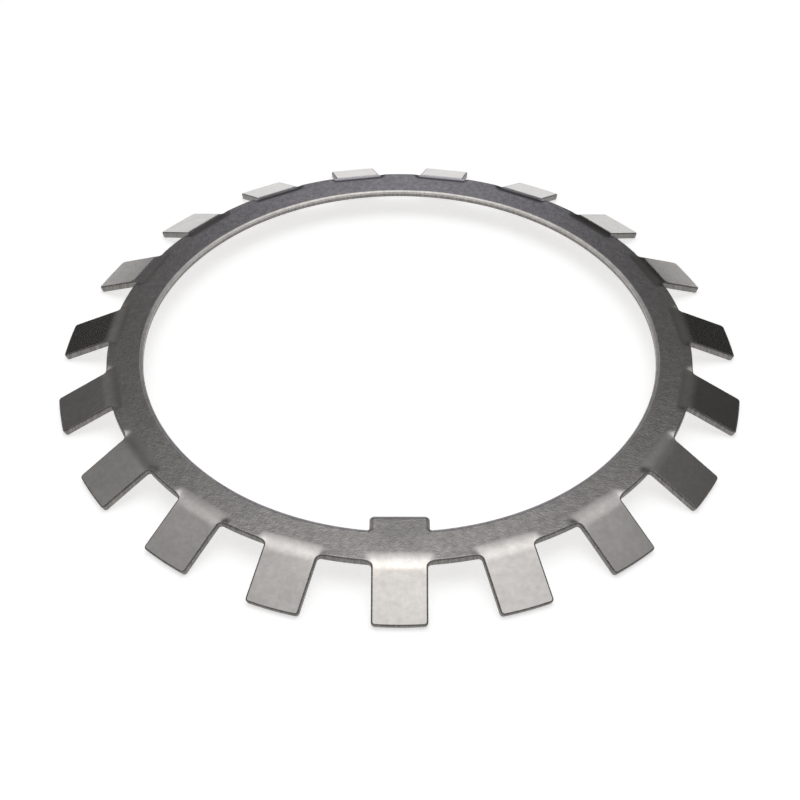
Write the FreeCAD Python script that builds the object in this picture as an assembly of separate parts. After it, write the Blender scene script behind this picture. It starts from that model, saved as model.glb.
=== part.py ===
"""Tab lock washer for a bearing locknut, punched and pressed from sheet steel.

Own frame in millimetres: the bore's axis is Z, the tab tips stand on the plane z = 0 and the flat
ring lies above them. The tongue and the first tab lie on the -Y side.
"""
import FreeCAD
import Part
import math
import os

from FreeCAD import Vector

# Driving dimensions, in millimetres and degrees
BORE_RADIUS = 75.0
RING_WIDTH = 10.5
SHEET = 2.0
TAB_COUNT = 19
TAB_WIDTH = 14.4
TAB_STRAIGHT = 14.3
TAB_ANGLE = 26.2
TAB_TIP_RADIUS = 101.0
TAB_TIP_CORNER = 1.0
BEND_INSIDE_RIM = 3.5
BEND_OUTER_RADIUS = 12.0
BEND_BLEND_WIDTH = 1.4
ROOT_CORNER = 1.0
TONGUE_WIDTH = 15.7
TONGUE_LENGTH = 5.2
TONGUE_CORNER = 1.4
TONGUE_ROOT_CORNER = 0.6
BORE_ROLLOVER = 0.8
EDGE_ROUND = 0.4

# Lengths that only have to reach past the sheet
TOOL_REACH = 6.0
TOOL_HEIGHT = 30.0
# How near a point has to be to count as lying on a circle or a plane
NEAR = 0.01
# Angle in degrees between two faces from which the edge between them counts as sharp
SHARP_FROM = 30.0

RIM_RADIUS = BORE_RADIUS + RING_WIDTH
BEND_START = RIM_RADIUS - BEND_INSIDE_RIM
SLOPE = math.radians(TAB_ANGLE)
RING_TOP = (
    BEND_OUTER_RADIUS * (1.0 - math.cos(SLOPE))
    + TAB_STRAIGHT * math.sin(SLOPE)
    + SHEET * math.cos(SLOPE)
    - EDGE_ROUND * (math.cos(SLOPE) + math.sin(SLOPE) - 1.0)
)
RING_UNDERSIDE = RING_TOP - SHEET


def arc(start, middle, end):
    """Edge along the circle through three points."""
    return Part.Arc(start, middle, end).toShape()


def line(start, end):
    """Straight edge between two points."""
    return Part.makeLine(start, end)


def bulge_point(centre, start, end, radius):
    """Point half-way round the short arc from start to end about a centre."""
    middle = (start + end) * 0.5 - centre
    middle.normalize()
    return centre + middle * radius


def bore_outline():
    """Closed outline of the bore with the tongue standing into it at -Y."""
    half = TONGUE_WIDTH / 2.0
    tip = -(BORE_RADIUS - TONGUE_LENGTH)
    shoulder = TONGUE_CORNER * (1.0 - math.sqrt(0.5))
    # The root corner's arc touches the bore from inside and the tongue's side from outside
    root_x = half + TONGUE_ROOT_CORNER
    root_y = -math.sqrt((BORE_RADIUS - TONGUE_ROOT_CORNER) ** 2 - root_x ** 2)
    root = Vector(root_x, root_y, 0)
    on_bore = root * (BORE_RADIUS / root.Length)
    on_side = Vector(half, root_y, 0)
    root_middle = bulge_point(root, on_bore, on_side, TONGUE_ROOT_CORNER)
    corner_side = Vector(half, tip - TONGUE_CORNER, 0)
    corner_middle = Vector(half - shoulder, tip - shoulder, 0)
    corner_tip = Vector(half - TONGUE_CORNER, tip, 0)

    def mirrored(point):
        return Vector(-point.x, point.y, 0)

    return Part.Wire([
        arc(mirrored(on_bore), Vector(0, BORE_RADIUS, 0), on_bore),
        arc(on_bore, root_middle, on_side),
        line(on_side, corner_side),
        arc(corner_side, corner_middle, corner_tip),
        line(corner_tip, mirrored(corner_tip)),
        arc(mirrored(corner_tip), mirrored(corner_middle), mirrored(corner_side)),
        line(mirrored(corner_side), mirrored(on_side)),
        arc(mirrored(on_side), mirrored(root_middle), mirrored(on_bore)),
    ])


def bore_edges(ring, height):
    """Edges of the keyed bore that lie at one height."""
    found = []
    for edge in ring.Edges:
        box = edge.BoundBox
        inside = max(-box.XMin, box.XMax, -box.YMin, box.YMax) < BORE_RADIUS + SHEET / 10.0
        if inside and max(abs(box.ZMin - height), abs(box.ZMax - height)) < SHEET / 10.0:
            found.append(edge)
    return found


def flat_ring():
    """Ring with its keyed bore, drawn down by the punch on top and tumbled smooth below."""
    ring = Part.makeCylinder(RIM_RADIUS, SHEET, Vector(0, 0, RING_UNDERSIDE))
    ring = ring.cut(Part.Face(bore_outline()).extrude(Vector(0, 0, TOOL_HEIGHT)))
    ring = ring.makeFillet(BORE_ROLLOVER, bore_edges(ring, RING_TOP))
    return ring.makeFillet(EDGE_ROUND, bore_edges(ring, RING_UNDERSIDE))


def bend_profile(radius, height):
    """Control points and knots of the bent strip's side view: an arc that runs on as a straight line."""
    handle = radius * 4.0 / 3.0 * math.tan(SLOPE / 4.0)
    bend_end = Vector(
        0,
        BEND_START + radius * math.sin(SLOPE),
        height - radius * (1.0 - math.cos(SLOPE)),
    )
    along = Vector(0, math.cos(SLOPE), -math.sin(SLOPE))
    straight = TAB_STRAIGHT + TOOL_REACH
    # Equal speed on both sides of the joint keeps the curve smooth there
    points = [
        Vector(0, BEND_START, height),
        Vector(0, BEND_START + handle, height),
        bend_end - along * handle,
        bend_end + along * (straight / 3.0),
        bend_end + along * (straight * 2.0 / 3.0),
        bend_end + along * straight,
    ]
    return points, [0.0, 3.0 * handle, 3.0 * handle + straight]


def bent_sheet_face(radius, height):
    """One skin of the pressed tab zone: full drop across the tab, fading out beside it."""
    half = TAB_WIDTH / 2.0
    outer = half + BEND_BLEND_WIDTH
    third = BEND_BLEND_WIDTH / 3.0
    across = [-outer, third - outer, 2.0 * third - outer, -half / 3.0]
    across = across + [-x for x in reversed(across)]
    drop_share = [0.0, 0.0, 1.0, 1.0, 1.0, 1.0, 0.0, 0.0]
    points, knots = bend_profile(radius, height)
    poles = []
    for x, share in zip(across, drop_share):
        poles.append([Vector(x, p.y, height + (p.z - height) * share) for p in points])
    skin = Part.BSplineSurface()
    skin.buildFromPolesMultsKnots(
        poles,
        [4, 2, 2, 4],
        [4, 2, 4],
        [-outer, -half, half, outer],
        knots,
        False,
        False,
        3,
        3,
    )
    return skin


def tab_sheet():
    """Pressed sheet from the bend's start to past the tip, as wide as its blend into the ring."""
    top = bent_sheet_face(BEND_OUTER_RADIUS, RING_TOP)
    under = bent_sheet_face(BEND_OUTER_RADIUS - SHEET, RING_UNDERSIDE)
    faces = [top.toShape(), under.toShape()]
    for end in (0, 1):
        across = [skin.vIso(skin.bounds()[2 + end]).toShape() for skin in (top, under)]
        along = [skin.uIso(skin.bounds()[end]).toShape() for skin in (top, under)]
        faces.append(Part.makeRuledSurface(across[0], across[1]))
        faces.append(Part.makeRuledSurface(along[0], along[1]))
    shell = Part.Compound(faces)
    shell.sewShape(1e-5)
    sheet = Part.Solid(shell.Shells[0])
    if sheet.Volume < 0:
        sheet.reverse()
    return sheet


def tab_plan():
    """Plan of the ring's rim and one tab, as the blank was punched, with round inner corners."""
    half = TAB_WIDTH / 2.0
    outer = half + BEND_BLEND_WIDTH
    reach = BEND_START + TAB_STRAIGHT + 2.0 * TOOL_REACH
    corner = Vector(half + ROOT_CORNER, 0, 0)
    corner.y = math.sqrt((RIM_RADIUS + ROOT_CORNER) ** 2 - corner.x ** 2)
    on_rim = corner * (RIM_RADIUS / corner.Length)
    on_side = Vector(half, corner.y, 0)
    corner_middle = bulge_point(corner, on_rim, on_side, ROOT_CORNER)
    rim_end = Vector(outer, math.sqrt(RIM_RADIUS ** 2 - outer ** 2), 0)
    rim_middle = bulge_point(Vector(0, 0, 0), rim_end, on_rim, RIM_RADIUS)
    right = [
        line(Vector(outer, BEND_START, 0), rim_end),
        arc(rim_end, rim_middle, on_rim),
        arc(on_rim, corner_middle, on_side),
        line(on_side, Vector(half, reach, 0)),
    ]
    left = [edge.mirror(Vector(0, 0, 0), Vector(1, 0, 0)) for edge in right]
    ends = [
        line(Vector(-outer, BEND_START, 0), Vector(outer, BEND_START, 0)),
        line(Vector(-half, reach, 0), Vector(half, reach, 0)),
    ]
    outline = Part.Wire(Part.__sortEdges__(right + left + ends))
    outline.translate(Vector(0, 0, -TOOL_REACH))
    return Part.Face(outline).extrude(Vector(0, 0, TOOL_HEIGHT))


def tip_trim():
    """Everything past the tab's rounded tip, square to the bent tab."""
    half = TAB_WIDTH / 2.0
    tip = TAB_STRAIGHT
    centre = Vector(0, tip - TAB_TIP_RADIUS, 0)
    corner = Vector(half - TAB_TIP_CORNER, 0, 0)
    corner.y = centre.y + math.sqrt((TAB_TIP_RADIUS - TAB_TIP_CORNER) ** 2 - corner.x ** 2)
    on_tip = centre + (corner - centre) * (TAB_TIP_RADIUS / (corner - centre).Length)
    on_side = Vector(half, corner.y, 0)
    corner_middle = bulge_point(corner, on_tip, on_side, TAB_TIP_CORNER)
    beside = Vector(half + TOOL_REACH, corner.y, 0)
    beyond = Vector(half + TOOL_REACH, tip + 2.0 * TOOL_REACH, 0)

    def mirrored(point):
        return Vector(-point.x, point.y, 0)

    outline = Part.Wire([
        arc(mirrored(on_tip), Vector(0, tip, 0), on_tip),
        arc(on_tip, corner_middle, on_side),
        line(on_side, beside),
        line(beside, beyond),
        line(beyond, mirrored(beyond)),
        line(mirrored(beyond), mirrored(beside)),
        line(mirrored(beside), mirrored(on_side)),
        arc(mirrored(on_side), mirrored(corner_middle), mirrored(on_tip)),
    ])
    tool = Part.Face(outline).extrude(Vector(0, 0, 2.0 * TOOL_REACH))
    tool.translate(Vector(0, 0, -TOOL_REACH))
    # Laid on the bent tab, measured from where its bend ends
    tool.rotate(Vector(0, 0, 0), Vector(1, 0, 0), -TAB_ANGLE)
    tool.translate(Vector(
        0,
        BEND_START + BEND_OUTER_RADIUS * math.sin(SLOPE),
        RING_TOP - BEND_OUTER_RADIUS * (1.0 - math.cos(SLOPE)),
    ))
    return tool


def pressed_tab():
    """One tab with the strip of rim that the press drew down round its root."""
    return tab_sheet().common(tab_plan()).cut(tip_trim())


def rim_notch():
    """The piece of flat rim that the pressed strip takes the place of."""
    half = TAB_WIDTH / 2.0 + BEND_BLEND_WIDTH
    return Part.makeBox(
        2.0 * half,
        TOOL_REACH,
        TOOL_HEIGHT,
        Vector(-half, BEND_START, 0),
    )


def round_the_ring(shape, number):
    """Copy of a shape made at +Y, turned to its place counted from the tongue's side."""
    copy = shape.copy()
    copy.rotate(Vector(0, 0, 0), Vector(0, 0, 1), 180.0 + number * 360.0 / TAB_COUNT)
    return copy


def outer_edges(washer):
    """Sharp edges of the rim and the tabs, on the upper and the lower face."""
    found = []
    for edge in washer.Edges:
        start = edge.FirstParameter
        span = edge.LastParameter - start
        points = [edge.valueAt(start + span * share) for share in (0.0, 0.25, 0.5, 0.75, 1.0)]
        if min(math.hypot(point.x, point.y) for point in points) < RIM_RADIUS - NEAR:
            continue
        faces = washer.ancestorsOfType(edge, Part.Face)
        normals = [face.normalAt(*face.Surface.parameter(points[2])) for face in faces]
        if abs(normals[0].dot(normals[1])) < math.cos(math.radians(SHARP_FROM)):
            found.append(edge)
    return found


def lock_washer():
    """Whole washer as one piece of sheet, its outer edges tumbled round."""
    tab = pressed_tab()
    notch = rim_notch()
    places = range(TAB_COUNT)
    ring = flat_ring().cut([round_the_ring(notch, number) for number in places])
    washer = ring.fuse([round_the_ring(tab, number) for number in places])
    washer = washer.removeSplitter()
    return washer.makeFillet(EDGE_ROUND, outer_edges(washer))


os.makedirs("parts", exist_ok=True)
washer = lock_washer()
washer.exportStep("parts/lock_washer.step")
print("solids", len(washer.Solids), "faces", len(washer.Faces), "valid", washer.isValid())
print("ring's top above the tab tips", round(RING_TOP, 4), "volume", round(washer.Volume, 2))
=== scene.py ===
# %% [markdown]
# A tab lock washer, dressed over its fixed frame.
# The real object is one piece of sheet steel. A press punches a flat blank, a ring with 19 outer
# tabs and one inner tongue, and a second stroke pushes the tabs down to one side. On a machine it
# slides over a threaded shaft, its tongue drops into the shaft's keyway, and one of the tabs is
# bent into a slot of the nut, so that the nut can't turn back.
# The lesson goes the way that the press goes: punch a blank, bend it, repeat it round the ring,
# then give it the skin of tumbled steel and light it.

# %% Load the fixed frame
import math

import bmesh
import bpy
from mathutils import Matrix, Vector
from mathutils.geometry import delaunay_2d_cdt


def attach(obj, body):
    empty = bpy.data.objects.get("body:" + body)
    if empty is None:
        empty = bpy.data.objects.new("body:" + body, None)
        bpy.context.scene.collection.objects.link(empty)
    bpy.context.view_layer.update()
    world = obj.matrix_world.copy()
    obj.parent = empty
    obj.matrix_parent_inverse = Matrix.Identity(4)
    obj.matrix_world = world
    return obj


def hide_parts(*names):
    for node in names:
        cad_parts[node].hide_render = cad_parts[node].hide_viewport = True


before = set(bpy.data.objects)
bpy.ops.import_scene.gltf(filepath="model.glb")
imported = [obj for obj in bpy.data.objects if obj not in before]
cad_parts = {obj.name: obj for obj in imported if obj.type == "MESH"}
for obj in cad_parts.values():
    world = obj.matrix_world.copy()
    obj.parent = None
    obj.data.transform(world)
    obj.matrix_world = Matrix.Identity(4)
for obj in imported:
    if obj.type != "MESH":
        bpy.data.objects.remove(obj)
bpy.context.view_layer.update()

# %% [markdown]
# The drawing of the washer, in millimetres and degrees. Every shape below comes from these sizes,
# so a reader can change one and watch the whole washer follow it.
# A punched edge is never sharp. Tumbling rounds the outer edges by a few tenths of a millimetre,
# and the punch draws the sheet down over a wider band along the bore.

# %% Sizes on the drawing
MM = 0.001
TAB_COUNT = 19
BORE_RADIUS = 75.0
RIM_RADIUS = 85.5
SHEET = 2.0
TAB_WIDTH = 14.4
TAB_STRAIGHT = 14.3
TAB_ANGLE = 26.2
TAB_TIP_RADIUS = 101.0
TAB_TIP_CORNER = 1.0
BEND_START = 82.0
BEND_OUTER_RADIUS = 12.0
BEND_BLEND_WIDTH = 2.2
ROOT_CORNER = 1.0
TONGUE_WIDTH = 15.7
TONGUE_LENGTH = 5.2
TONGUE_CORNER = 1.4
TONGUE_ROOT_CORNER = 0.6
EDGE_ROUND = 0.4
BORE_ROLL_WIDTH = 1.1
BORE_ROLL_DEPTH = 0.2
BORE_CORNER = 0.3
RUBBED_DEPTH = 0.35
SUPPORT_LOOP = 0.08

slope = math.radians(TAB_ANGLE)
half_sector = math.pi / TAB_COUNT
middle_bend_radius = BEND_OUTER_RADIUS - SHEET / 2.0
flat_tip = BEND_START + middle_bend_radius * slope + TAB_STRAIGHT
ring_top = (
    BEND_OUTER_RADIUS * (1.0 - math.cos(slope))
    + TAB_STRAIGHT * math.sin(slope)
    + SHEET * math.cos(slope)
    - EDGE_ROUND * (math.cos(slope) + math.sin(slope) - 1.0)
)
print("flat blank reaches", round(flat_tip, 2), "mm, ring's top is", round(ring_top, 2), "mm up")

# %% [markdown]
# The blank is punched from a drawing of lines and arcs. One sector of it, a tab with its share of
# the ring, is all that has to be drawn, because the other 18 are the same.
# A disc could be cut with booleans instead, but they leave long thin faces along each cut, on which
# a rounded edge shades badly. A drawn outline keeps every point where it is wanted.
# Each point of an outline carries a second value, the direction into the metal. With it the same
# outline can be moved inwards by any distance, which is how the rounded edges are made further on.

# %% Lines and arcs of an outline
AXIS = Vector((0.0, 0.0))
INTO_TAB = Vector((-1.0, 0.0))
INTO_TONGUE = Vector((0.0, 1.0))
TO_CENTRE = 1
FROM_CENTRE = -1
QUARTER = math.pi / 2
ON_MIDDLE = 1e-9


def arc_points(centre, radius, start, end, steps, inward):
    """Points on an arc with their direction into the metal, TO_CENTRE or FROM_CENTRE."""
    points = []
    for step in range(steps + 1):
        angle = start + (end - start) * step / steps
        away = Vector((math.sin(angle), math.cos(angle)))
        points.append((centre + away * radius, -away * inward))
    return points


def line_points(start, end, steps, into):
    """Points between the ends of a straight edge, without the ends."""
    return [(start.lerp(end, step / steps), into) for step in range(1, steps)]


def with_mirror(right_half):
    """Whole outline from left to right, from its right half listed from the middle outwards."""
    left = [
        (Vector((-point.x, point.y)), Vector((-into.x, into.y)))
        for point, into in reversed(right_half)
        if point.x > ON_MIDDLE
    ]
    return left + right_half


quarter_round = arc_points(AXIS, 1.0, 0.0, QUARTER, 5, TO_CENTRE)
print("a quarter round in 5 steps has", len(quarter_round), "points")

# %% Outline of the tab
TIP_STEPS = 5
TIP_CORNER_STEPS = 5
SIDE_STEPS = 9
ROOT_STEPS = 6
RIM_STEPS = 5


def outer_outline():
    """Tip, side and root of the tab, then the rim as far as the middle of the gap."""
    half = TAB_WIDTH / 2.0
    tip_centre = Vector((0.0, flat_tip - TAB_TIP_RADIUS))
    reach = TAB_TIP_RADIUS - TAB_TIP_CORNER
    tip_angle = math.asin((half - TAB_TIP_CORNER) / reach)
    corner = tip_centre + Vector((math.sin(tip_angle), math.cos(tip_angle))) * reach
    root = Vector((half + ROOT_CORNER, 0.0))
    root.y = math.sqrt((RIM_RADIUS + ROOT_CORNER) ** 2 - root.x ** 2)
    root_angle = math.atan2(root.x, root.y)
    tip = arc_points(tip_centre, TAB_TIP_RADIUS, 0.0, tip_angle, TIP_STEPS, TO_CENTRE)
    tip_corner = arc_points(corner, TAB_TIP_CORNER, tip_angle, QUARTER, TIP_CORNER_STEPS, TO_CENTRE)
    side = line_points(Vector((half, corner.y)), Vector((half, root.y)), SIDE_STEPS, INTO_TAB)
    root_arc = arc_points(
        root, ROOT_CORNER, 3.0 * QUARTER, math.pi + root_angle, ROOT_STEPS, FROM_CENTRE
    )
    rim = arc_points(AXIS, RIM_RADIUS, root_angle, half_sector, RIM_STEPS, TO_CENTRE)
    return with_mirror(tip + tip_corner[1:] + side + root_arc + rim[1:])


print("points round the tab:", len(outer_outline()))

# %% Outlines of the bore, plain and with the tongue
PLAIN_BORE_STEPS = 8
TONGUE_TIP_STEPS = 5
TONGUE_CORNER_STEPS = 6
TONGUE_SIDE_STEPS = 3
TONGUE_ROOT_STEPS = 5
KEYED_BORE_STEPS = 3


def plain_bore_outline():
    """Bore of a sector that has no tongue."""
    bore = arc_points(AXIS, BORE_RADIUS, 0.0, half_sector, PLAIN_BORE_STEPS, FROM_CENTRE)
    return with_mirror(bore)


def tongue_outline():
    """Bore of the sector whose tongue stands into it."""
    half = TONGUE_WIDTH / 2.0
    tip = Vector((0.0, BORE_RADIUS - TONGUE_LENGTH))
    corner = Vector((half - TONGUE_CORNER, tip.y + TONGUE_CORNER))
    root = Vector((half + TONGUE_ROOT_CORNER, 0.0))
    root.y = math.sqrt((BORE_RADIUS - TONGUE_ROOT_CORNER) ** 2 - root.x ** 2)
    root_angle = math.atan2(root.x, root.y)
    tip_edge = [(tip, INTO_TONGUE)]
    tip_edge += line_points(tip, Vector((corner.x, tip.y)), TONGUE_TIP_STEPS, INTO_TONGUE)
    tip_corner = arc_points(
        corner, TONGUE_CORNER, math.pi, QUARTER, TONGUE_CORNER_STEPS, TO_CENTRE
    )
    side = line_points(
        Vector((half, corner.y)), Vector((half, root.y)), TONGUE_SIDE_STEPS, INTO_TAB
    )
    root_arc = arc_points(
        root,
        TONGUE_ROOT_CORNER,
        3.0 * QUARTER,
        4.0 * QUARTER + root_angle,
        TONGUE_ROOT_STEPS,
        FROM_CENTRE,
    )
    bore = arc_points(
        AXIS, BORE_RADIUS, root_angle, half_sector, KEYED_BORE_STEPS, FROM_CENTRE
    )
    return with_mirror(tip_edge + tip_corner + side + root_arc + bore[1:])


print("points along the bore:", len(plain_bore_outline()), "plain,", len(tongue_outline()), "keyed")

# %% [markdown]
# From outline to sheet. The edge of the sheet is a stack of copies of the outline, each moved
# inwards by a little and down by a little, so that it runs over a round shoulder, down the punched
# wall and round the lower edge. One more copy lies on the flat face close beside the shoulder. It
# keeps the smooth shading of the shoulder from spilling over the flat face.
# A Bevel modifier could round the edges too, but its round has one shape, and the bore's shoulder
# is wide and shallow. The stack can also mark which points lie on a wall, for the material.

# %% Edges of the sheet
FACE_MARK = 0.0
BAND_MARK = 0.5
WALL_MARK = 1.0
ROLL_SHARES = (0.0, 0.3, 0.6, 0.85)
ROUND_STEPS = 5


def edge_stack(roll_width, roll_depth, corner):
    """Inset, depth and wall mark from the upper face over the edge to the lower face.

    Only the bore's rolled band and the corner below it get the band's mark.
    """
    has_roll = roll_width > corner
    stack = [(roll_width + SUPPORT_LOOP, 0.0, FACE_MARK)]
    if has_roll:
        for share in ROLL_SHARES:
            inset = roll_width + (corner - roll_width) * share
            stack.append((inset, roll_depth * share ** 2, BAND_MARK * share))
    for step in range(ROUND_STEPS + 1):
        angle = QUARTER * step / ROUND_STEPS
        inset = corner * (1.0 - math.sin(angle))
        depth = roll_depth + corner * (1.0 - math.cos(angle))
        stack.append((inset, depth, BAND_MARK if has_roll else WALL_MARK))
    stack.append((0.0, roll_depth + corner + RUBBED_DEPTH, WALL_MARK))
    for step in range(ROUND_STEPS):
        angle = QUARTER * step / (ROUND_STEPS - 1)
        inset = EDGE_ROUND * (1.0 - math.cos(angle))
        depth = SHEET - EDGE_ROUND * (1.0 - math.sin(angle))
        stack.append((inset, depth, WALL_MARK))
    stack.append((EDGE_ROUND + SUPPORT_LOOP, SHEET, FACE_MARK))
    return stack


def edge_walls(outline, stack, turn, start):
    """Vertices, marks and faces of one edge of the sheet, with its points numbered from start."""
    vertices = []
    marks = []
    faces = []
    count = len(outline)
    for inset, depth, mark in stack:
        for point, into in outline:
            moved = point + into * inset
            vertices.append((moved.x, moved.y, -depth))
            marks.append(mark)
    for level in range(len(stack) - 1):
        for place in range(count - 1):
            corner = start + level * count + place
            quad = (corner, corner + 1, corner + count + 1, corner + count)
            faces.append(quad if turn > 0 else quad[::-1])
    return vertices, marks, faces


rim_stack = edge_stack(EDGE_ROUND, 0.0, EDGE_ROUND)
bore_stack = edge_stack(BORE_ROLL_WIDTH, BORE_ROLL_DEPTH, BORE_CORNER)
print("copies of the outline:", len(rim_stack), "at the rim,", len(bore_stack), "at the bore")

# %% [markdown]
# The two faces are filled with triangles between the edges. Flat metal needs few of them, but the
# sheet will bend, and a bend is only as smooth as the points along it. So the grid inside the
# sector has close rows where the bend comes and wide ones elsewhere. A grid all of close rows would
# do as well, with more than twice the triangles.

# %% Grid inside a sector
FINE_STEP = 0.3
WIDE_STEP = 1.6
BEFORE_BEND = 1.5
AFTER_BEND = 0.6
CLEARANCE = 0.28
HALF_TAB_COLUMNS = 5
FADE_COLUMNS = 4
RING_COLUMNS = 2
FAR_AWAY = 1e9


def grid_rows():
    """Distances from the axis of the grid's rows."""
    rows = []
    y = BORE_RADIUS - TONGUE_LENGTH
    bend_end = BEND_START + middle_bend_radius * slope
    while y < flat_tip:
        rows.append(y)
        in_bend = BEND_START - BEFORE_BEND < y < bend_end + AFTER_BEND
        y += FINE_STEP if in_bend else WIDE_STEP
    return rows


def grid_columns():
    """Places of the grid's columns: across the tab, over the fade beside it, and past that."""
    half = TAB_WIDTH / 2.0
    tab_steps = range(-HALF_TAB_COLUMNS, HALF_TAB_COLUMNS + 1)
    columns = [half * step / HALF_TAB_COLUMNS for step in tab_steps]
    for side in (-1.0, 1.0):
        for step in range(1, FADE_COLUMNS + 1):
            columns.append(side * (half + BEND_BLEND_WIDTH * step / FADE_COLUMNS))
        for step in range(1, RING_COLUMNS + 1):
            columns.append(side * (half + BEND_BLEND_WIDTH + WIDE_STEP * step))
    return columns


def lies_inside(point, border):
    """True where a point is inside a closed border and clear of it."""
    inside = False
    nearest = FAR_AWAY
    for start, end in zip(border, border[1:] + border[:1]):
        along = end - start
        share = max(0.0, min(1.0, (point - start).dot(along) / along.length_squared))
        nearest = min(nearest, (start + along * share - point).length)
        if (start.y > point.y) != (end.y > point.y):
            if point.x < start.x + along.x * (point.y - start.y) / along.y:
                inside = not inside
    return inside and nearest > CLEARANCE


def grid_points(border):
    """Grid points inside a sector, clear of its edges and of its cuts."""
    points = [Vector((x, y)) for y in grid_rows() for x in grid_columns()]
    kept = []
    for point in points:
        from_cut = (half_sector - abs(math.atan2(point.x, point.y))) * point.length
        if from_cut >= CLEARANCE * 2.0 and lies_inside(point, border):
            kept.append(point)
    return kept


print("grid of", len(grid_rows()), "rows and", len(grid_columns()), "columns")

# %% [markdown]
# One sector is the two edges, two straight cuts where it will meet its neighbours, and the faces
# between them. The cuts stay open, and their points lie at the same places on both sides, so that
# neighbours close to one skin when they are merged.
# A Delaunay triangulation fills the faces. It joins given points to well-shaped triangles, so no
# face is drawn by hand, and the same triangles serve for the upper and the lower face.

# %% One flat sector as a mesh
# Which way round the faces of a wall are listed, so that they point out of the metal
OUTER_TURN = 1
BORE_TURN = -1
CUT_MARGIN = 1.0
CUT_POINTS = 5
FILL_INSIDE = 1
FILL_TOLERANCE = 1e-6


def cut_places():
    """Places along the right cut, from its outer end inwards, and along the left cut, outwards."""
    radii = [BORE_RADIUS + CUT_MARGIN + WIDE_STEP * step for step in range(1, CUT_POINTS + 1)]
    sine = math.sin(half_sector)
    cosine = math.cos(half_sector)
    right = [(radius * sine, radius * cosine) for radius in reversed(radii)]
    left = [(-radius * sine, radius * cosine) for radius in radii]
    return right, left


def sector_mesh(bore_outline, first_vertex):
    """Vertices, faces and wall marks of one flat sector. The cut faces at its two ends stay open."""
    vertices = []
    marks = []
    faces = []
    borders = []
    for outline, stack, turn in (
        (outer_outline(), rim_stack, OUTER_TURN),
        (bore_outline, bore_stack, BORE_TURN),
    ):
        upper = list(range(len(vertices), len(vertices) + len(outline)))
        lower = [index + (len(stack) - 1) * len(outline) for index in upper]
        borders.append(list(zip(upper, lower)))
        wall_vertices, wall_marks, wall_faces = edge_walls(outline, stack, turn, len(vertices))
        vertices += wall_vertices
        marks += wall_marks
        faces += wall_faces

    def add_pairs(places):
        """One point on the upper face and one on the lower for each place."""
        added = []
        for x, y in places:
            vertices.extend([(x, y, 0.0), (x, y, -SHEET)])
            marks.extend([FACE_MARK, FACE_MARK])
            added.append((len(vertices) - 2, len(vertices) - 1))
        return added

    outer_border, bore_border = borders
    right_cut, left_cut = cut_places()
    pairs = outer_border + add_pairs(right_cut) + bore_border[::-1] + add_pairs(left_cut)
    border = [Vector(vertices[upper][:2]) for upper, lower in pairs]
    border_order = list(range(len(border)))
    pairs += add_pairs(grid_points(border))
    flat = [Vector(vertices[upper][:2]) for upper, lower in pairs]
    filled = delaunay_2d_cdt(flat, [], [border_order], FILL_INSIDE, FILL_TOLERANCE)
    triangles, sources = filled[2:4]
    for triangle in triangles:
        corners = [pairs[sources[index][0]] for index in triangle]
        faces.append(tuple(upper for upper, lower in corners))
        faces.append(tuple(lower for upper, lower in reversed(corners)))
    faces = [tuple(index + first_vertex for index in face) for face in faces]
    return vertices, faces, marks


vertices, faces, marks = sector_mesh(plain_bore_outline(), 0)
plain_count = len(vertices)
print("plain sector:", plain_count, "points,", len(faces), "faces")

# %% The blank's two sectors in one mesh
keyed_vertices, keyed_faces, keyed_marks = sector_mesh(tongue_outline(), plain_count)
vertices += keyed_vertices
faces += keyed_faces
marks += keyed_marks
blank = bpy.data.meshes.new("washer_blank")
blank.from_pydata([Vector(place) * MM for place in vertices], [], faces)
wall_mark = blank.attributes.new("punched_wall", "FLOAT", "POINT")
wall_mark.data.foreach_set("value", marks)
keyed_mark = blank.attributes.new("keyed_sector", "BOOLEAN", "POINT")
keyed_mark.data.foreach_set("value", [index >= plain_count for index in range(len(vertices))])
washer = bpy.data.objects.new("pressed_lock_washer", blank)
bpy.context.scene.collection.objects.link(washer)
print("two sectors:", len(vertices), "points,", len(faces), "faces")

# %% [markdown]
# The press. A bend is a rule: metal before the bend's start stays, metal in the bend wraps round an
# arc, and metal past it runs on straight. The upper face wraps on a larger arc than the lower one,
# so each point uses its own radius.
# A Simple Deform modifier bends too, but it bends the whole width alike, and here the bend dies out
# beside the tab. Geometry Nodes suit a rule: the sizes go in by name, and plain maths on each
# point's place gives the exact form.

# %% A node helper and the tree's inputs
def add_node(tree, kind, links=(), **settings):
    """Adds a node, gives it its settings, and links or sets its inputs by name or number."""
    node = tree.nodes.new(kind)
    for name, value in settings.items():
        setattr(node, name, value)
    for key, value in dict(links).items():
        if isinstance(value, bpy.types.NodeSocket):
            tree.links.new(value, node.inputs[key])
        else:
            node.inputs[key].default_value = value
    return node


press = bpy.data.node_groups.new("Punch and press", "GeometryNodeTree")
press.interface.new_socket("Geometry", in_out="INPUT", socket_type="NodeSocketGeometry")
press_sizes = {
    "Tabs": ("NodeSocketInt", TAB_COUNT),
    "Bend start": ("NodeSocketFloat", BEND_START * MM),
    "Bend outer radius": ("NodeSocketFloat", BEND_OUTER_RADIUS * MM),
    "Bend middle radius": ("NodeSocketFloat", middle_bend_radius * MM),
    "Bend angle": ("NodeSocketFloat", slope),
    "Tab half width": ("NodeSocketFloat", TAB_WIDTH / 2.0 * MM),
    "Blend width": ("NodeSocketFloat", BEND_BLEND_WIDTH * MM),
    "Ring height": ("NodeSocketFloat", ring_top * MM),
    "Steel": ("NodeSocketMaterial", None),
}
for name, (kind, value) in press_sizes.items():
    press.interface.new_socket(name, in_out="INPUT", socket_type=kind)
press.interface.new_socket("Geometry", in_out="OUTPUT", socket_type="NodeSocketGeometry")
print("inputs", list(press_sizes))

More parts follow.
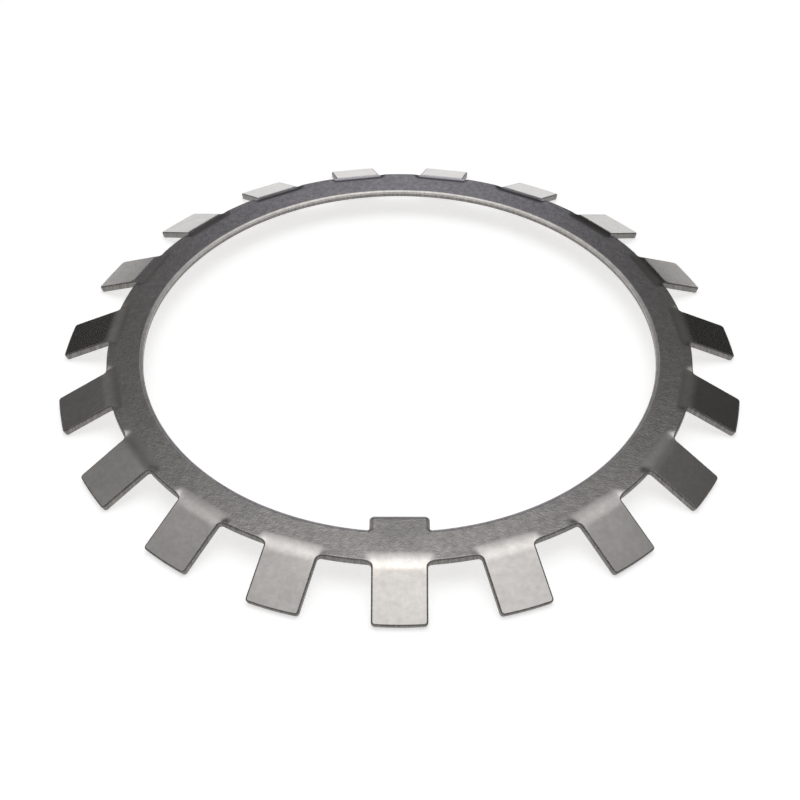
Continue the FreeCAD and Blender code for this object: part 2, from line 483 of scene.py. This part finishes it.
# %% How far along the bend a point lies
entry = add_node(press, "NodeGroupInput").outputs
place = add_node(press, "GeometryNodeInputPosition").outputs[0]
parts = add_node(press, "ShaderNodeSeparateXYZ", {0: place}).outputs
past = add_node(
    press, "ShaderNodeMath", {0: parts["Y"], 1: entry["Bend start"]}, operation="SUBTRACT"
).outputs[0]
run = add_node(press, "ShaderNodeMath", {0: past, 1: 0.0}, operation="MAXIMUM").outputs[0]
turned = add_node(
    press, "ShaderNodeMath", {0: run, 1: entry["Bend middle radius"]}, operation="DIVIDE"
).outputs[0]
angle = add_node(
    press, "ShaderNodeMath", {0: turned, 1: entry["Bend angle"]}, operation="MINIMUM"
).outputs[0]
arc_length = add_node(
    press,
    "ShaderNodeMath",
    {0: entry["Bend middle radius"], 1: entry["Bend angle"]},
    operation="MULTIPLY",
).outputs[0]
over = add_node(
    press, "ShaderNodeMath", {0: run, 1: arc_length}, operation="SUBTRACT"
).outputs[0]
beyond = add_node(press, "ShaderNodeMath", {0: over, 1: 0.0}, operation="MAXIMUM").outputs[0]
print("nodes so far:", len(press.nodes))

# %% Where the bend puts the point
own_radius = add_node(
    press, "ShaderNodeMath", {0: entry["Bend outer radius"], 1: parts["Z"]}, operation="ADD"
).outputs[0]
sine = add_node(press, "ShaderNodeMath", {0: angle}, operation="SINE").outputs[0]
cosine = add_node(press, "ShaderNodeMath", {0: angle}, operation="COSINE").outputs[0]
before = add_node(
    press, "ShaderNodeMath", {0: parts["Y"], 1: entry["Bend start"]}, operation="MINIMUM"
).outputs[0]
out_arc = add_node(
    press, "ShaderNodeMath", {0: own_radius, 1: sine, 2: before}, operation="MULTIPLY_ADD"
).outputs[0]
out_bent = add_node(
    press, "ShaderNodeMath", {0: beyond, 1: cosine, 2: out_arc}, operation="MULTIPLY_ADD"
).outputs[0]
up_arc = add_node(
    press, "ShaderNodeMath", {0: own_radius, 1: cosine}, operation="MULTIPLY"
).outputs[0]
up_rest = add_node(
    press, "ShaderNodeMath", {0: up_arc, 1: entry["Bend outer radius"]}, operation="SUBTRACT"
).outputs[0]
fall = add_node(press, "ShaderNodeMath", {0: beyond, 1: sine}, operation="MULTIPLY").outputs[0]
up_bent = add_node(
    press, "ShaderNodeMath", {0: up_rest, 1: fall}, operation="SUBTRACT"
).outputs[0]
print("nodes so far:", len(press.nodes))

# %% [markdown]
# Beside the tab the sheet can't drop all at once, because the rim there is held by the ring. The
# drop fades out across a narrow band, by a smooth step, which starts and ends level.
# How far each point was pressed is kept on it by name. The press irons the metal that it bends, so
# the material will want to know which metal that is.

# %% Fade of the bend beside the tab
aside = add_node(press, "ShaderNodeMath", {0: parts["X"]}, operation="ABSOLUTE").outputs[0]
fade_end = add_node(
    press,
    "ShaderNodeMath",
    {0: entry["Tab half width"], 1: entry["Blend width"]},
    operation="ADD",
).outputs[0]
share = add_node(
    press,
    "ShaderNodeMapRange",
    {
        "Value": aside,
        "From Min": entry["Tab half width"],
        "From Max": fade_end,
        "To Min": 1.0,
        "To Max": 0.0,
    },
    interpolation_type="SMOOTHSTEP",
).outputs["Result"]
bent = add_node(
    press, "ShaderNodeCombineXYZ", {"X": parts["X"], "Y": out_bent, "Z": up_bent}
).outputs[0]
mixed = add_node(
    press,
    "ShaderNodeMix",
    {"Factor": share, 4: place, 5: bent},
    data_type="VECTOR",
).outputs[1]
turned_share = add_node(
    press, "ShaderNodeMath", {0: angle, 1: entry["Bend angle"]}, operation="DIVIDE"
).outputs[0]
ironed = add_node(
    press, "ShaderNodeMath", {0: turned_share, 1: share}, operation="MULTIPLY"
).outputs[0]
marked = add_node(
    press,
    "GeometryNodeStoreNamedAttribute",
    {"Geometry": entry["Geometry"], "Name": "pressed_share", "Value": ironed},
    data_type="FLOAT",
    domain="POINT",
).outputs[0]
pressed = add_node(
    press,
    "GeometryNodeSetPosition",
    {"Geometry": marked, "Position": mixed},
).outputs[0]
print("nodes so far:", len(press.nodes))

# %% [markdown]
# Nineteen sectors make the washer. An Array modifier could turn copies round an empty, but one of
# the 19 differs, the one with the tongue. A tree can choose: every station round the bore gets an
# instance, the keyed sector at the first station and the plain one at all the others.
# Instances are only references, so they are made real, and points that meet are merged to one skin.

# %% Nineteen sectors round the bore
FULL_TURN = 2.0 * math.pi
FIRST_STATION = math.pi
MERGE_DISTANCE = 0.01 * MM
keyed_here = add_node(
    press, "GeometryNodeInputNamedAttribute", {"Name": "keyed_sector"}, data_type="BOOLEAN"
).outputs["Attribute"]
sorted_sectors = add_node(
    press, "GeometryNodeSeparateGeometry", {"Geometry": pressed, "Selection": keyed_here}
).outputs
height = add_node(press, "ShaderNodeCombineXYZ", {"Z": entry["Ring height"]}).outputs[0]
stations = add_node(
    press, "GeometryNodePoints", {"Count": entry["Tabs"], "Position": height}
).outputs[0]
number = add_node(press, "GeometryNodeInputIndex").outputs[0]
step_angle = add_node(
    press, "ShaderNodeMath", {0: FULL_TURN, 1: entry["Tabs"]}, operation="DIVIDE"
).outputs[0]
station_angle = add_node(
    press,
    "ShaderNodeMath",
    {0: number, 1: step_angle, 2: FIRST_STATION},
    operation="MULTIPLY_ADD",
).outputs[0]
station_turn = add_node(press, "ShaderNodeCombineXYZ", {"Z": station_angle}).outputs[0]
is_first = add_node(
    press, "FunctionNodeCompare", {2: number, 3: 0}, data_type="INT", operation="EQUAL"
).outputs[0]
is_other = add_node(press, "FunctionNodeBooleanMath", {0: is_first}, operation="NOT").outputs[0]
placed = []
for sector, chosen in (
    (sorted_sectors["Selection"], is_first),
    (sorted_sectors["Inverted"], is_other),
):
    single = add_node(press, "GeometryNodeGeometryToInstance", {"Geometry": sector}).outputs[0]
    placed.append(add_node(
        press,
        "GeometryNodeInstanceOnPoints",
        {"Points": stations, "Selection": chosen, "Instance": single, "Rotation": station_turn},
    ).outputs[0])
joined = add_node(press, "GeometryNodeJoinGeometry", {"Geometry": placed[0]})
press.links.new(placed[1], joined.inputs["Geometry"])
real = add_node(
    press, "GeometryNodeRealizeInstances", {"Geometry": joined.outputs[0]}
).outputs[0]
sheet = add_node(
    press, "GeometryNodeMergeByDistance", {"Geometry": real, "Distance": MERGE_DISTANCE}
).outputs[0]
smooth = add_node(press, "GeometryNodeSetShadeSmooth", {"Geometry": sheet}).outputs[0]
skinned = add_node(
    press, "GeometryNodeSetMaterial", {"Geometry": smooth, "Material": entry["Steel"]}
).outputs[0]
add_node(press, "NodeGroupOutput", {"Geometry": skinned})
print("tree has", len(press.nodes), "nodes")

# %% [markdown]
# The skin. The washer is cold-rolled mild steel with no plating. The rolls leave a fine grain, and
# tumbling in a barrel with stones knocks it into a dull mottled grey full of tiny pits and specks.
# It gives the eye a soft, broad sheen: bright where a face mirrors the top of the room, nearly
# black where it mirrors a dark wall. The punched walls are rougher, with streaks across the sheet
# that the punch drew.
# A picture of steel could be laid over the mesh. Computed patterns need no picture and no unfolded
# mesh, and they stay sharp at any distance.
# The sizes below are in millimetres and are turned into texture scales. The real specks and streaks
# are about a tenth of a millimetre, too fine to show, so they are drawn as coarse as they need.

# %% Patterns of tumbled steel
CLOUD_SIZE = 6.0 * MM
MOTTLE_SIZE = 1.6 * MM
SPECK_SIZE = 0.55 * MM
PIT_SPACING = 1.1 * MM
STREAK_SIZE = 0.5 * MM
STREAK_STRETCH = 0.12
PATTERN_ROUGHNESS = 0.6
IRONED_FROM = 0.08

steel = bpy.data.materials.new("cold-rolled steel, punched and tumbled")
steel.use_nodes = True
skin = steel.node_tree
skin.nodes.clear()
object_place = add_node(skin, "ShaderNodeTexCoord").outputs["Object"]
wall = add_node(skin, "ShaderNodeAttribute", attribute_name="punched_wall").outputs["Fac"]
pressed_here = add_node(skin, "ShaderNodeAttribute", attribute_name="pressed_share").outputs["Fac"]
ironed_here = add_node(
    skin, "ShaderNodeMapRange", {"Value": pressed_here, "From Max": IRONED_FROM}
).outputs["Result"]
noises = {}
for name, size, detail in (
    ("clouds", CLOUD_SIZE, 3.0),
    ("mottle", MOTTLE_SIZE, 4.0),
    ("specks", SPECK_SIZE, 2.0),
):
    noises[name] = add_node(
        skin,
        "ShaderNodeTexNoise",
        {
            "Vector": object_place,
            "Scale": 1.0 / size,
            "Detail": detail,
            "Roughness": PATTERN_ROUGHNESS,
        },
    ).outputs[0]
pits = add_node(
    skin,
    "ShaderNodeTexVoronoi",
    {"Vector": object_place, "Scale": 1.0 / PIT_SPACING, "Randomness": 1.0},
).outputs["Distance"]
across = 1.0 / STREAK_SIZE
wall_place = add_node(
    skin,
    "ShaderNodeMapping",
    {"Vector": object_place, "Scale": (across, across, across * STREAK_STRETCH)},
).outputs[0]
streaks = add_node(
    skin,
    "ShaderNodeTexNoise",
    {"Vector": wall_place, "Scale": 1.0, "Detail": 3.0, "Roughness": PATTERN_ROUGHNESS},
).outputs[0]
print("patterns from", round(STREAK_SIZE / MM, 2), "to", round(CLOUD_SIZE / MM, 2), "mm")

# %% [markdown]
# Colour. A bare metal's base colour is what it mirrors head-on, a pale warm grey for steel. On the
# ring it wavers between two greys that lie close together, and the pits are darker, because dirt
# stays in them. Where the press ironed the metal, the pits are closed and the greys are closer still.
# The noise values crowd round a half, so the ramps are cut to the middle of their range.

# %% Colour of the faces
FACE_DARK = "B1AEAB"
FACE_LIGHT = "C9C6C3"
NOISE_LOW = 0.35
NOISE_HIGH = 0.65
IRONED_EVENNESS = 0.3
CLOUD_SHADES = (0.95, 1.03)
PIT_FLOOR = 0.08
PIT_BRIM = 0.24
PIT_SHADE = 0.8


def to_linear(hex_colour):
    """sRGB hex colour as linear red, green, blue and full alpha, by the sRGB standard's curve."""
    channels = []
    for start in (0, 2, 4):
        value = int(hex_colour[start:start + 2], 16) / 255.0
        channels.append(value / 12.92 if value <= 0.04045 else ((value + 0.055) / 1.055) ** 2.4)
    return (*channels, 1.0)


tone_low = add_node(
    skin, "ShaderNodeMapRange", {"Value": ironed_here, "To Max": IRONED_EVENNESS}
).outputs["Result"]
tone_high = add_node(
    skin, "ShaderNodeMath", {0: 1.0, 1: tone_low}, operation="SUBTRACT"
).outputs[0]
face_tone = add_node(
    skin,
    "ShaderNodeMapRange",
    {
        "Value": noises["mottle"],
        "From Min": NOISE_LOW,
        "From Max": NOISE_HIGH,
        "To Min": tone_low,
        "To Max": tone_high,
    },
).outputs["Result"]
face_colour = add_node(
    skin,
    "ShaderNodeMix",
    {"Factor": face_tone, 6: to_linear(FACE_DARK), 7: to_linear(FACE_LIGHT)},
    data_type="RGBA",
).outputs[2]
cloud_shade = add_node(
    skin,
    "ShaderNodeMapRange",
    {
        "Value": noises["clouds"],
        "From Min": NOISE_LOW,
        "From Max": NOISE_HIGH,
        "To Min": CLOUD_SHADES[0],
        "To Max": CLOUD_SHADES[1],
    },
).outputs["Result"]
pit_shade = add_node(
    skin,
    "ShaderNodeMapRange",
    {
        "Value": pits,
        "From Min": PIT_FLOOR,
        "From Max": PIT_BRIM,
        "To Min": PIT_SHADE,
        "To Max": 1.0,
    },
).outputs["Result"]
open_pits = add_node(
    skin,
    "ShaderNodeMix",
    {"Factor": ironed_here, 2: pit_shade, 3: 1.0},
    data_type="FLOAT",
).outputs[0]
clean_shade = add_node(
    skin, "ShaderNodeMath", {0: cloud_shade, 1: open_pits}, operation="MULTIPLY"
).outputs[0]
print("faces from", FACE_DARK, "to", FACE_LIGHT)

# %% [markdown]
# Painted shade. The tongue is drawn darker by a painted shade, which fades out towards the tab in
# front of it. It could be painted on the mesh, but a distance from one point does the same and can be
# moved by one number.

# %% Painted shade on the tongue
PAINTED_SHADE_INSIDE_BORE = 1.5
PAINTED_SHADE_PLACE = (0.0, (PAINTED_SHADE_INSIDE_BORE - BORE_RADIUS) * MM, ring_top * MM)
PAINTED_SHADE_CORE = 4.0 * MM
PAINTED_SHADE_REACH = 9.0 * MM
# How dark the painted shade on the tongue is at its core
PAINTED_SHADE_LEVEL = 0.86
from_tongue = add_node(
    skin, "ShaderNodeVectorMath", {0: object_place, 1: PAINTED_SHADE_PLACE}, operation="DISTANCE"
).outputs["Value"]
# Painted shade: darkest within the core round one point on the tongue, gone at the reach
painted_shade_on_tongue = add_node(
    skin,
    "ShaderNodeMapRange",
    {
        "Value": from_tongue,
        "From Min": PAINTED_SHADE_CORE,
        "From Max": PAINTED_SHADE_REACH,
        "To Min": PAINTED_SHADE_LEVEL,
        "To Max": 1.0,
    },
).outputs["Result"]
# The face's tone, with the painted shade on the tongue
face_tone_and_painted_shade = add_node(
    skin, "ShaderNodeMath", {0: clean_shade, 1: painted_shade_on_tongue}, operation="MULTIPLY"
).outputs[0]
face_final = add_node(
    skin, "ShaderNodeVectorMath", {0: face_colour, "Scale": face_tone_and_painted_shade}, operation="SCALE"
).outputs[0]
# Prints how far the painted shade on the tongue reaches
print("dull patch fades from", round(PAINTED_SHADE_CORE / MM, 1), "to", round(PAINTED_SHADE_REACH / MM, 1), "mm")

# %% [markdown]
# The walls. A punch shears the sheet, so its walls are torn and dark, with streaks along the
# stroke. The bore's rolled band above them was pressed against the punch, which burnished it
# lighter than the face and the wall.
# The mark that the mesh carries, 0 on a face, a half on that band and 1 on a wall, mixes the three.

# %% Colour of the walls and of the bore's band
WALL_DARK = "73716F"
WALL_LIGHT = "979491"
BURNISH = 1.8
wall_tone = add_node(
    skin,
    "ShaderNodeMapRange",
    {"Value": streaks, "From Min": NOISE_LOW, "From Max": NOISE_HIGH},
).outputs["Result"]
wall_colour = add_node(
    skin,
    "ShaderNodeMix",
    {"Factor": wall_tone, 6: to_linear(WALL_DARK), 7: to_linear(WALL_LIGHT)},
    data_type="RGBA",
).outputs[2]
face_to_wall = add_node(
    skin,
    "ShaderNodeMix",
    {"Factor": wall, 6: face_final, 7: wall_colour},
    data_type="RGBA",
).outputs[2]
past_band = add_node(
    skin, "ShaderNodeMath", {0: wall, 1: 2.0, 2: -1.0}, operation="MULTIPLY_ADD"
).outputs[0]
from_band = add_node(skin, "ShaderNodeMath", {0: past_band}, operation="ABSOLUTE").outputs[0]
burnish = add_node(
    skin, "ShaderNodeMapRange", {"Value": from_band, "To Min": BURNISH, "To Max": 1.0}
).outputs["Result"]
colour = add_node(
    skin, "ShaderNodeVectorMath", {0: face_to_wall, "Scale": burnish}, operation="SCALE"
).outputs[0]
print("walls from", WALL_DARK, "to", WALL_LIGHT)

# %% [markdown]
# Sheen and relief. Tumbled faces are fairly smooth, with a roughness near 0.15, and torn walls are
# rough, at 0.5. The grain is a relief of a few hundredths of a millimetre, far too shallow to model,
# so a bump node tilts the shading instead. On the ironed tabs almost none of it is left.

# %% Steel sheen and relief
SHEEN_NOISE = (0.3, 0.7)
FACE_ROUGHNESS = (0.18, 0.14)
WALL_ROUGHNESS = 0.5
RING_RELIEF = 0.030 * MM
TAB_RELIEF = 0.0006 * MM
WALL_RELIEF = 0.020 * MM
MOTTLE_RELIEF = 0.6
PIT_RELIEF = 0.8
face_rough = add_node(
    skin,
    "ShaderNodeMapRange",
    {
        "Value": noises["mottle"],
        "From Min": SHEEN_NOISE[0],
        "From Max": SHEEN_NOISE[1],
        "To Min": FACE_ROUGHNESS[0],
        "To Max": FACE_ROUGHNESS[1],
    },
).outputs["Result"]
coarse = add_node(
    skin, "ShaderNodeMapRange", {"Value": wall, "From Max": BAND_MARK}
).outputs["Result"]
fine_relief = add_node(
    skin,
    "ShaderNodeMath",
    {0: noises["mottle"], 1: MOTTLE_RELIEF, 2: noises["specks"]},
    operation="MULTIPLY_ADD",
).outputs[0]
face_relief = add_node(
    skin,
    "ShaderNodeMath",
    {0: open_pits, 1: PIT_RELIEF, 2: fine_relief},
    operation="MULTIPLY_ADD",
).outputs[0]
face_depth = add_node(
    skin,
    "ShaderNodeMix",
    {"Factor": ironed_here, 2: RING_RELIEF, 3: TAB_RELIEF},
    data_type="FLOAT",
).outputs[0]
blends = []
for factor, on_face, on_wall in (
    (coarse, face_rough, WALL_ROUGHNESS),
    (wall, face_relief, streaks),
    (wall, face_depth, WALL_RELIEF),
):
    blends.append(add_node(
        skin,
        "ShaderNodeMix",
        {"Factor": factor, 2: on_face, 3: on_wall},
        data_type="FLOAT",
    ).outputs[0])
rough, relief_height, relief_depth = blends
relief = add_node(
    skin,
    "ShaderNodeBump",
    {"Height": relief_height, "Strength": 1.0, "Distance": relief_depth},
).outputs[0]
shader = add_node(
    skin,
    "ShaderNodeBsdfPrincipled",
    {"Base Color": colour, "Metallic": 1.0, "Roughness": rough, "Normal": relief},
).outputs[0]
add_node(skin, "ShaderNodeOutputMaterial", {"Surface": shader})
print("steel material has", len(skin.nodes), "nodes")

# %% [markdown]
# The tree now runs once. A modifier's inputs are set by their identifiers, and the result is kept
# as a plain mesh. Its faces are turned to point
# outwards, and a count of open edges tells whether the sectors closed to one skin.

# %% Press the washer and keep it as a plain mesh
modifier = washer.modifiers.new("Punch and press", "NODES")
modifier.node_group = press
for item in press.interface.items_tree:
    if item.in_out == "INPUT" and item.name in press_sizes:
        value = press_sizes[item.name][1]
        modifier[item.identifier] = steel if item.name == "Steel" else value
bpy.context.view_layer.update()
evaluated = washer.evaluated_get(bpy.context.evaluated_depsgraph_get())
finished = bpy.data.meshes.new_from_object(evaluated)
washer.modifiers.clear()
washer.data = finished
finished.name = "pressed_lock_washer"
work = bmesh.new()
work.from_mesh(finished)
bmesh.ops.recalc_face_normals(work, faces=work.faces)
open_edges = sum(1 for edge in work.edges if not edge.is_manifold)
volume = work.calc_volume(signed=True) / MM ** 3
work.to_mesh(finished)
work.free()
print("washer:", len(finished.polygons), "faces,", open_edges, "open edges")
print("steel in it:", round(volume), "cubic mm")
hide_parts("lock_washer")
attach(washer, "root")

# %% [markdown]
# The floor is a plain pale board. A white world without a floor would be simpler, but the washer
# would float in it. The board takes the soft shadow under the tabs, and a glow that only the
# camera, reflections and glass see keeps it white without more light on the steel.

# %% Floor
FLOOR_SIZE = 3.0
BOARD_COLOUR = "EDEDED"
GLOW_COLOUR = "FFFFFF"
GLOW_STRENGTH = 0.59
reach = FLOOR_SIZE / 2.0
floor_corners = [(-reach, -reach, 0.0), (reach, -reach, 0.0), (reach, reach, 0.0), (-reach, reach, 0.0)]
floor_mesh = bpy.data.meshes.new("floor")
floor_mesh.from_pydata(floor_corners, [], [(0, 1, 2, 3)])
floor = bpy.data.objects.new("floor", floor_mesh)
bpy.context.scene.collection.objects.link(floor)
paper = bpy.data.materials.new("matt white board")
paper.use_nodes = True
board = paper.node_tree
board.nodes.clear()
seen = add_node(board, "ShaderNodeLightPath").outputs
seen_or_mirrored = add_node(
    board,
    "ShaderNodeMath",
    {0: seen["Is Camera Ray"], 1: seen["Is Glossy Ray"]},
    operation="MAXIMUM",
).outputs[0]
seen_anyhow = add_node(
    board,
    "ShaderNodeMath",
    {0: seen_or_mirrored, 1: seen["Is Transmission Ray"]},
    operation="MAXIMUM",
).outputs[0]
glow_strength = add_node(
    board, "ShaderNodeMath", {0: seen_anyhow, 1: GLOW_STRENGTH}, operation="MULTIPLY"
).outputs[0]
glow = add_node(
    board, "ShaderNodeEmission", {"Color": to_linear(GLOW_COLOUR), "Strength": glow_strength}
).outputs[0]
matt = add_node(board, "ShaderNodeBsdfDiffuse", {"Color": to_linear(BOARD_COLOUR)}).outputs[0]
both = add_node(board, "ShaderNodeAddShader", {0: matt, 1: glow}).outputs[0]
add_node(board, "ShaderNodeOutputMaterial", {"Surface": both})
floor_mesh.materials.append(paper)
print("floor", FLOOR_SIZE, "m square")

# %% [markdown]
# Steel shows what stands around it more than its own colour. The room is a large soft tent: white
# overhead and falling off to dark grey walls. The tabs that face up are bright, and those that
# lean to the sides are nearly black. That contrast tells the eye that this is bare metal.
# Lamps would show in the steel as hard spots, so the light is drawn on the world itself.
# The tent's brightness goes by the angle from its top, which leans a little to the back and right:
# even in the core, then falling off evenly to the edge. Soft panels on the ceiling and walls add
# what the tent alone leaves too dark. Most of their strengths are a solver's answer to how bright
# each part of the washer looks in the photo, rounded to steps of 0.05, and the tent's values stand
# near the same answer. The lamp overhead and the three panels in front were set one by one.

# %% Tent and panels
# Angles are in degrees. The tent's top is given as its height above the floor and its angle from
# the back to the right, and its core and edge as angles from that top
TENT_TOP = (84.0, 10.0)
TENT_TONE = 2.0
TENT_CORE = 6.0
TENT_EDGE = 40.0
WALL_TONE = 0.03
PLAIN = "FFFFFF"
WARM = "FFF0DC"
COOL = "EDEDFF"
# Each panel's name, height, angle from the back to the right, reach, strength and tint
ROOM_PANELS = (
    ("warm lamp overhead", 86.0, 180.0, 13.0, 0.5, WARM),
    ("ceiling on the right", 66.0, 105.0, 25.0, 0.25, PLAIN),
    ("ceiling behind", 51.0, 0.0, 20.0, 0.3, PLAIN),
    ("left wall, upper part", 50.0, -75.0, 26.0, 0.45, PLAIN),
    ("right wall, upper part", 50.0, 75.0, 26.0, 0.3, PLAIN),
    ("right corner, upper part", 50.0, 40.0, 26.0, 0.1, PLAIN),
    ("left wall", 30.0, -80.0, 26.0, 0.15, PLAIN),
    ("left corner", 30.0, -55.0, 26.0, 0.15, PLAIN),
    ("back wall on the left", 30.0, -30.0, 26.0, 0.2, PLAIN),
    ("back wall on the right", 30.0, 30.0, 26.0, 0.1, PLAIN),
    ("right corner", 30.0, 55.0, 26.0, 0.05, PLAIN),
    ("screen behind", 34.0, 0.0, 12.0, 0.5, COOL),
    ("back wall near the board", 8.0, 0.0, 15.0, 1.0, COOL),
    ("the same on the left", 8.0, -22.0, 15.0, 0.15, COOL),
    ("front wall", 25.0, 180.0, 65.0, 0.2, PLAIN),
    ("right wall, front part", 20.0, 115.0, 45.0, 0.2, PLAIN),
    ("left wall, front part", 20.0, -115.0, 45.0, 0.2, PLAIN),
)


def direction_to(height, azimuth):
    """Unit vector to a height above the floor and an angle from the back to the right, in degrees."""
    up = math.radians(height)
    turn = math.radians(azimuth)
    return (math.cos(up) * math.sin(turn), math.cos(up) * math.cos(turn), math.sin(up))


print("brightest towards", [round(value, 2) for value in direction_to(*TENT_TOP)])

# %% Room
def angle_from(tree, direction, height, azimuth):
    """Angle in radians between the looked-at direction and a fixed one."""
    nearness = add_node(
        tree,
        "ShaderNodeVectorMath",
        {0: direction, 1: direction_to(height, azimuth)},
        operation="DOT_PRODUCT",
    ).outputs["Value"]
    return add_node(tree, "ShaderNodeMath", {0: nearness}, operation="ARCCOSINE").outputs[0]


room = bpy.data.worlds.new("soft tent in a dark grey room")
bpy.context.scene.world = room
room.use_nodes = True
tent = room.node_tree
tent.nodes.clear()
direction = add_node(tent, "ShaderNodeTexCoord").outputs["Generated"]
from_top = angle_from(tent, direction, *TENT_TOP)
tent_tone = add_node(
    tent,
    "ShaderNodeMapRange",
    {
        "Value": from_top,
        "From Min": math.radians(TENT_CORE),
        "From Max": math.radians(TENT_EDGE),
        "To Min": TENT_TONE,
        "To Max": WALL_TONE,
    },
).outputs["Result"]
light = add_node(
    tent,
    "ShaderNodeVectorMath",
    {0: to_linear(PLAIN)[:3], "Scale": tent_tone},
    operation="SCALE",
).outputs[0]
for name, height, azimuth, spread, strength, tint in ROOM_PANELS:
    away = angle_from(tent, direction, height, azimuth)
    fading = add_node(
        tent,
        "ShaderNodeMapRange",
        {"Value": away, "From Max": math.radians(spread), "To Min": strength, "To Max": 0.0},
        interpolation_type="SMOOTHSTEP",
    ).outputs["Result"]
    panel = add_node(
        tent,
        "ShaderNodeVectorMath",
        {0: to_linear(tint)[:3], "Scale": fading},
        operation="SCALE",
    ).outputs[0]
    light = add_node(
        tent, "ShaderNodeVectorMath", {0: light, 1: panel}, operation="ADD"
    ).outputs[0]
sky = add_node(tent, "ShaderNodeBackground", {"Color": light, "Strength": 1.0}).outputs[0]
add_node(tent, "ShaderNodeOutputWorld", {"Surface": sky})
print("room of one tent and", len(ROOM_PANELS), "panels")

# %% [markdown]
# The camera stands in front of the tongue and looks down at about 43 degrees, with a lens a little
# longer than normal. A closer camera with a wide lens would frame the washer as well, but the near
# tabs would look far too large beside the others.

# %% Camera
CAMERA_PLACE = (-0.0006, -0.3304, 0.2949)
CAMERA_TURN = (46.83, -0.13, -0.01)
LENS = 66.7
SENSOR_WIDTH = 36.0
camera_data = bpy.data.cameras.new("camera")
camera_data.lens = LENS
camera_data.sensor_width = SENSOR_WIDTH
camera = bpy.data.objects.new("camera", camera_data)
camera.location = CAMERA_PLACE
camera.rotation_euler = [math.radians(value) for value in CAMERA_TURN]
bpy.context.scene.collection.objects.link(camera)
bpy.context.scene.camera = camera
bpy.context.scene.view_settings.view_transform = "Standard"
print("camera is", round(camera.location.length, 3), "m from the middle of the floor")
